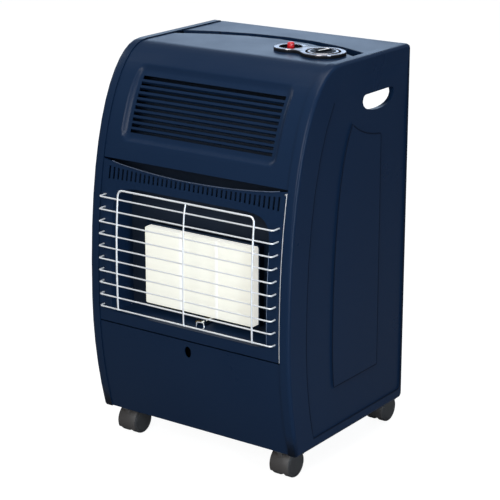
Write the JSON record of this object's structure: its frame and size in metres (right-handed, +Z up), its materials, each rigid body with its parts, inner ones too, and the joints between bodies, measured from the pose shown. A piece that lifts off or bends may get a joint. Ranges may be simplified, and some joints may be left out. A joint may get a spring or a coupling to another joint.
{
  "type": "portable gas cabinet heater",
  "caption": "Bow-fronted gas heater cabinet on twin-wheel casters, with a louvred outlet, wire-guarded ceramic burner, hand holes, and a tap knob and igniter button on top.",
  "frame": {"origin": "on the floor, under the centre of the object's bounding box", "axes": "+X to the viewer's right when facing the burner, +Y to the rear, +Z up; the front faces -Y"},
  "size_m": [0.42, 0.4066, 0.7148],
  "materials": {
    "navy_paint": "semi-gloss stove enamel, fine orange peel",
    "inner_paint": "flat dark inner paint",
    "zinc_sheet": "dull zinc-plated sheet",
    "guard_chrome": "bright chromed wire",
    "bezel_chrome": "bright chrome on plastic",
    "burner_steel": "heat-dulled stainless sheet",
    "ceramic": "perforated burner ceramic, glowing",
    "brass_fitting": "turned brass",
    "control_black": "satin black moulded plastic",
    "igniter_red": "glossy red moulded plastic",
    "steel_pin": "bright drawn steel",
    "caster_grey": "dark grey moulded nylon",
    "wheel_grey": "dark grey moulded wheel, slightly worn tread"
  },
  "bodies": {
    "cabinet": {"left_side_panel": "navy_paint", "right_side_panel": "navy_paint", "upper_front_panel": "navy_paint", "rear_top_cover": "navy_paint", "burner_surround": "navy_paint", "lower_front_panel": "navy_paint", "base_tray": "zinc_sheet", "bulkhead": "inner_paint", "heat_deflector": "inner_paint", "guard_grille": "guard_chrome", "burner_housing": "burner_steel", "burner_frame": "burner_steel", "ceramic_plaque_left": "ceramic", "ceramic_plaque_centre": "ceramic", "ceramic_plaque_right": "ceramic", "injector": "brass_fitting", "burner_feed_pipe": "brass_fitting", "pilot_burner": "brass_fitting", "thermocouple": "brass_fitting", "gas_tap": "brass_fitting", "hose_nozzle": "brass_fitting", "pilot_bracket": "burner_steel", "spark_electrode": "ceramic", "bezel_trim": "bezel_chrome", "control_bezel": "control_black", "knob_dial_plate": "control_black", "button_plate": "control_black", "piezo_igniter": "control_black", "front_left_caster_socket": "zinc_sheet", "front_right_caster_socket": "zinc_sheet", "rear_left_caster_socket": "zinc_sheet", "rear_right_caster_socket": "zinc_sheet"},
    "rear_cover_body": {"rear_cover": "navy_paint"},
    "push_rod_body": {"push_rod": "steel_pin"},
    "knob_body": {"tap_spindle": "steel_pin", "control_knob": "control_black", "knob_ring": "bezel_chrome"},
    "button_body": {"igniter_button": "igniter_red"},
    "front_left_caster": {"front_left_caster_hood": "caster_grey", "front_left_caster_axle": "steel_pin"},
    "front_left_caster_wheel_left_body": {"front_left_caster_wheel_left": "wheel_grey"},
    "front_left_caster_wheel_right_body": {"front_left_caster_wheel_right": "wheel_grey"},
    "front_right_caster": {"front_right_caster_hood": "caster_grey", "front_right_caster_axle": "steel_pin"},
    "front_right_caster_wheel_left_body": {"front_right_caster_wheel_left": "wheel_grey"},
    "front_right_caster_wheel_right_body": {"front_right_caster_wheel_right": "wheel_grey"},
    "rear_left_caster": {"rear_left_caster_hood": "caster_grey", "rear_left_caster_axle": "steel_pin"},
    "rear_left_caster_wheel_left_body": {"rear_left_caster_wheel_left": "wheel_grey"},
    "rear_left_caster_wheel_right_body": {"rear_left_caster_wheel_right": "wheel_grey"},
    "rear_right_caster": {"rear_right_caster_hood": "caster_grey", "rear_right_caster_axle": "steel_pin"},
    "rear_right_caster_wheel_left_body": {"rear_right_caster_wheel_left": "wheel_grey"},
    "rear_right_caster_wheel_right_body": {"rear_right_caster_wheel_right": "wheel_grey"}
  },
  "joints": [
    {"name": "rear_cover_lift", "type": "slide", "parent": "cabinet", "child": "rear_cover_body", "axis": [0, 0, 1], "range_m": [0, 0.014]},
    {"name": "knob_press", "type": "slide", "parent": "cabinet", "child": "push_rod_body", "axis": [0, 0, -1], "range_m": [0, 0.005], "stiffness_N_per_m": 800, "springref_m": -0.004},
    {"name": "knob_turn", "type": "hinge", "parent": "push_rod_body", "child": "knob_body", "pos_m": [0.1385, 0.01263, 0.703], "axis": [0, 0, 1], "range_deg": [0, 210]},
    {"name": "button_press", "type": "slide", "parent": "cabinet", "child": "button_body", "axis": [0, 0, -1], "range_m": [0, 0.005], "stiffness_N_per_m": 400, "springref_m": -0.002},
    {"name": "front_left_caster_swivel", "type": "hinge", "parent": "cabinet", "child": "front_left_caster", "pos_m": [-0.166, -0.14537, 0.053], "axis": [0, 0, 1], "continuous": true},
    {"name": "front_left_caster_wheel_left_roll", "type": "hinge", "parent": "front_left_caster", "child": "front_left_caster_wheel_left_body", "pos_m": [-0.166, -0.12637, 0.0242], "axis": [1, 0, 0], "continuous": true},
    {"name": "front_left_caster_wheel_right_roll", "type": "hinge", "parent": "front_left_caster", "child": "front_left_caster_wheel_right_body", "pos_m": [-0.166, -0.12637, 0.0242], "axis": [1, 0, 0], "continuous": true},
    {"name": "front_right_caster_swivel", "type": "hinge", "parent": "cabinet", "child": "front_right_caster", "pos_m": [0.166, -0.14537, 0.053], "axis": [0, 0, 1], "continuous": true},
    {"name": "front_right_caster_wheel_left_roll", "type": "hinge", "parent": "front_right_caster", "child": "front_right_caster_wheel_left_body", "pos_m": [0.166, -0.12637, 0.0242], "axis": [1, 0, 0], "continuous": true},
    {"name": "front_right_caster_wheel_right_roll", "type": "hinge", "parent": "front_right_caster", "child": "front_right_caster_wheel_right_body", "pos_m": [0.166, -0.12637, 0.0242], "axis": [1, 0, 0], "continuous": true},
    {"name": "rear_left_caster_swivel", "type": "hinge", "parent": "cabinet", "child": "rear_left_caster", "pos_m": [-0.166, 0.15763, 0.053], "axis": [0, 0, 1], "continuous": true},
    {"name": "rear_left_caster_wheel_left_roll", "type": "hinge", "parent": "rear_left_caster", "child": "rear_left_caster_wheel_left_body", "pos_m": [-0.166, 0.17663, 0.0242], "axis": [1, 0, 0], "continuous": true},
    {"name": "rear_left_caster_wheel_right_roll", "type": "hinge", "parent": "rear_left_caster", "child": "rear_left_caster_wheel_right_body", "pos_m": [-0.166, 0.17663, 0.0242], "axis": [1, 0, 0], "continuous": true},
    {"name": "rear_right_caster_swivel", "type": "hinge", "parent": "cabinet", "child": "rear_right_caster", "pos_m": [0.166, 0.15763, 0.053], "axis": [0, 0, 1], "continuous": true},
    {"name": "rear_right_caster_wheel_left_roll", "type": "hinge", "parent": "rear_right_caster", "child": "rear_right_caster_wheel_left_body", "pos_m": [0.166, 0.17663, 0.0242], "axis": [1, 0, 0], "continuous": true},
    {"name": "rear_right_caster_wheel_right_roll", "type": "hinge", "parent": "rear_right_caster", "child": "rear_right_caster_wheel_right_body", "pos_m": [0.166, 0.17663, 0.0242], "axis": [1, 0, 0], "continuous": true}
  ]
}
